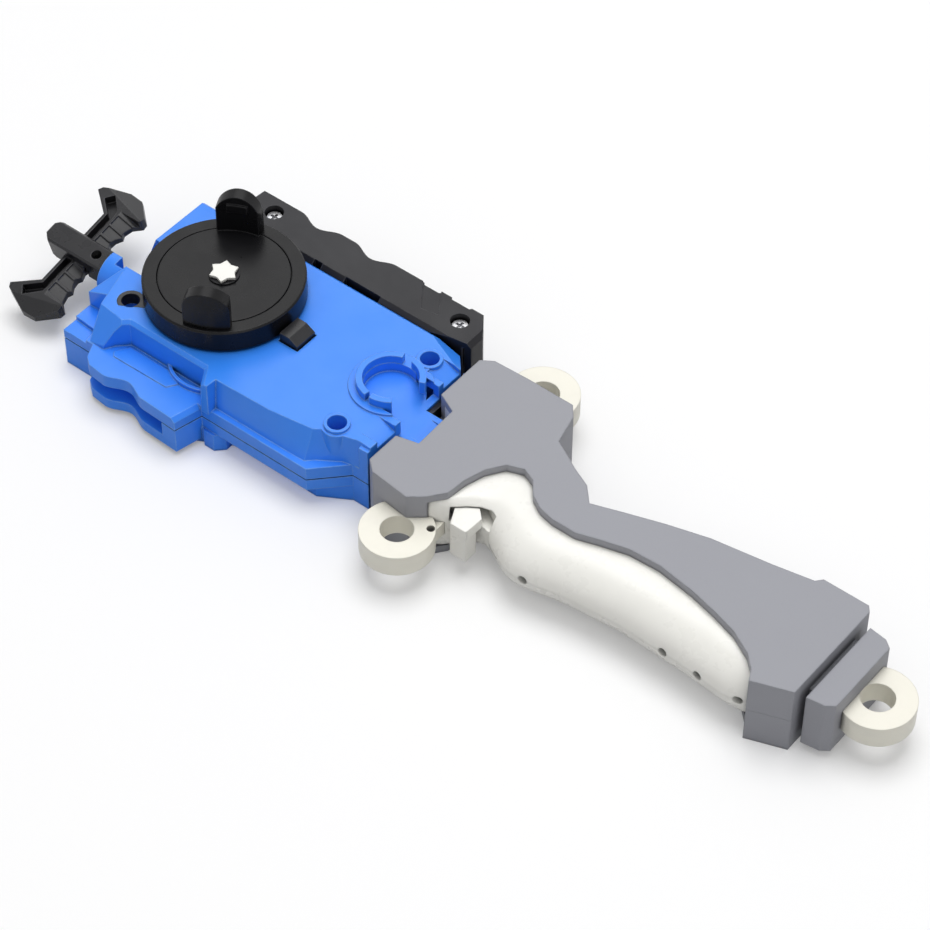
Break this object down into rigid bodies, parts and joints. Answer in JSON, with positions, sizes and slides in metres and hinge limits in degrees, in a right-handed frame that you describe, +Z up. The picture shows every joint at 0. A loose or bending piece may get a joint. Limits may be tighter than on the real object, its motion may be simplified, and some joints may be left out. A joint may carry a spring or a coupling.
{
  "type": "spinning top launcher",
  "caption": "String launcher for a spinning top: geared chuck with two prongs in a flat case, pull handle on a cord, and a removable pistol grip with lanyard loops.",
  "frame": {"origin": "on the case's flat underside, under the axis of the chuck", "axes": "+X along the case towards the grip, +Y towards the side rail, +Z up, out of the chuck's face"},
  "size_m": [0.2518, 0.0732, 0.0381],
  "materials": {
    "case_blue": "satin moulded plastic",
    "rail_grey": "fine matte texture",
    "plastic_black": "satin",
    "chuck_black": "soft gloss",
    "plastic_white": "satin",
    "loop_ivory": "satin",
    "cover_grey": "satin",
    "gear_ivory": "natural acetal",
    "steel": "bright",
    "cord_white": "braided cord"
  },
  "bodies": {
    "launcher": {"top_shell": "case_blue", "bottom_shell": "case_blue", "side_rail": "rail_grey", "rail_screws": "steel", "case_screws": "steel", "deck_bush": "plastic_black", "upper_bearing": "gear_ivory", "lower_bearing": "gear_ivory", "gear_plate": "gear_ivory", "reel_axle": "steel", "idler_axle": "steel", "rear_plate": "plastic_black", "mainspring": "steel", "plunger_spring": "steel", "pull_string": "cord_white", "grip_core_upper": "plastic_white", "grip_core_lower": "plastic_white", "grip_cover_upper": "cover_grey", "grip_cover_lower": "cover_grey", "grip_frame": "loop_ivory", "grip_end_block": "cover_grey", "grip_screws": "steel", "lever_pin": "steel", "lever_spring": "steel"},
    "reel": {"reel_gear": "gear_ivory", "string_reel": "gear_ivory", "wound_string": "cord_white"},
    "idler": {"idler_gear": "gear_ivory"},
    "chuck": {"spindle": "steel", "drive_pinion": "gear_ivory", "ratchet_hub": "plastic_black", "chuck_ring": "chuck_black", "prong_plate": "chuck_black", "spindle_collar": "chuck_black", "spindle_cap": "plastic_white"},
    "plunger": {"sensor_plunger": "plastic_black"},
    "string_end": {"cord_knot": "cord_white"},
    "pull_handle": {"handle_stem": "plastic_black", "handle_crossbar": "plastic_black"},
    "latch": {"release_lever": "plastic_white"}
  },
  "joints": [
    {"name": "handle_pull", "type": "slide", "parent": "launcher", "child": "string_end", "axis": [-1, 0, 0], "range_m": [0, 0.45], "stiffness_N_per_m": 2, "springref_m": -0.1, "deforming": ["pull_string"]},
    {"name": "handle_twist", "type": "hinge", "parent": "string_end", "child": "pull_handle", "pos_m": [-0.0368, -0.006, 0.013], "axis": [1, 0, 0], "continuous": true},
    {"name": "reel_spin", "type": "hinge", "parent": "launcher", "child": "reel", "pos_m": [0.03669, 0.0048, 0.01], "axis": [0, 0, 1], "range_deg": [-2900, 0], "deforming": ["mainspring"]},
    {"name": "idler_spin", "type": "hinge", "parent": "launcher", "child": "idler", "pos_m": [0.01587, 0.00208, 0.004], "axis": [0, 0, 1], "range_deg": [0, 3900]},
    {"name": "chuck_spin", "type": "hinge", "parent": "launcher", "child": "chuck", "pos_m": [0, 0, 0.02], "axis": [0, 0, 1], "range_deg": [-5000, 0]},
    {"name": "plunger_press", "type": "slide", "parent": "launcher", "child": "plunger", "axis": [0, 0, -1], "range_m": [0, 0.001], "stiffness_N_per_m": 400, "springref_m": -0.0005, "deforming": ["plunger_spring"]},
    {"name": "latch_press", "type": "hinge", "parent": "launcher", "child": "latch", "pos_m": [0.0805, -0.0125, 0.0145], "axis": [0, 0, 1], "range_deg": [0, 10], "stiffness_Nm_per_rad": 0.02, "springref_deg": -2.86, "deforming": ["lever_spring"]}
  ],
  "couplings": [
    {"joint": "reel_spin", "follows": "handle_pull", "rad_per_m": -92.59},
    {"joint": "idler_spin", "follows": "handle_pull", "rad_per_m": 123.45},
    {"joint": "chuck_spin", "follows": "handle_pull", "rad_per_m": -158.73}
  ]
}
